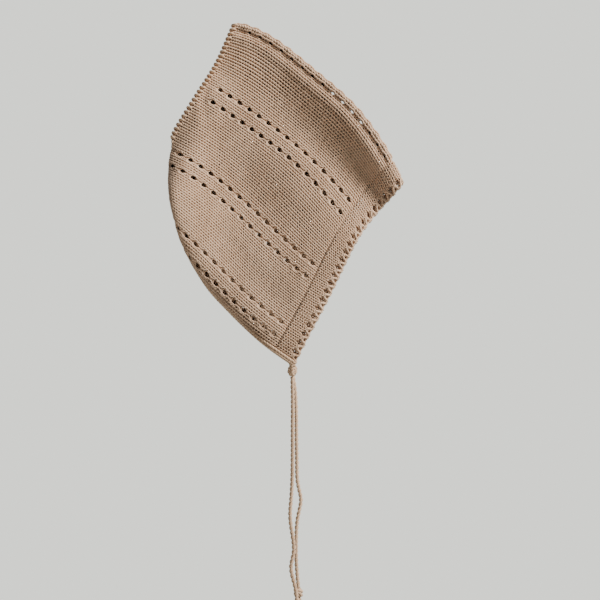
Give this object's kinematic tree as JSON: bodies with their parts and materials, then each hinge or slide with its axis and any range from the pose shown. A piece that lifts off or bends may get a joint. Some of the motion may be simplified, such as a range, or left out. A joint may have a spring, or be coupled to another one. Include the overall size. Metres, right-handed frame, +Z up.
{
  "type": "knitted baby bonnet",
  "caption": "Hand-knitted pixie baby bonnet in camel cotton, hanging from its top fold, with eyelet ladders, a picot face edge and twisted ties.",
  "frame": {"origin": "the inside of the top fold, where a peg or hook carries the hanging bonnet", "axes": "+X towards the face opening, +Y from the near side to the far side, +Z up as it hangs"},
  "size_m": [0.174, 0.0574, 0.4446],
  "materials": {
    "body_yarn": "matte knitted cotton with a soft nap",
    "cord_yarn": "matte twisted cotton cord"
  },
  "bodies": {
    "root": {"crown_panel": "body_yarn", "face_band": "body_yarn", "back_seam": "body_yarn", "neck_border_near": "body_yarn", "neck_border_far": "body_yarn", "chin_loop_near": "cord_yarn", "chin_loop_far": "cord_yarn", "tie_cord_near": "cord_yarn", "tie_cord_far": "cord_yarn", "tie_end_near": "cord_yarn", "tie_end_far": "cord_yarn"}
  },
  "joints": []
}
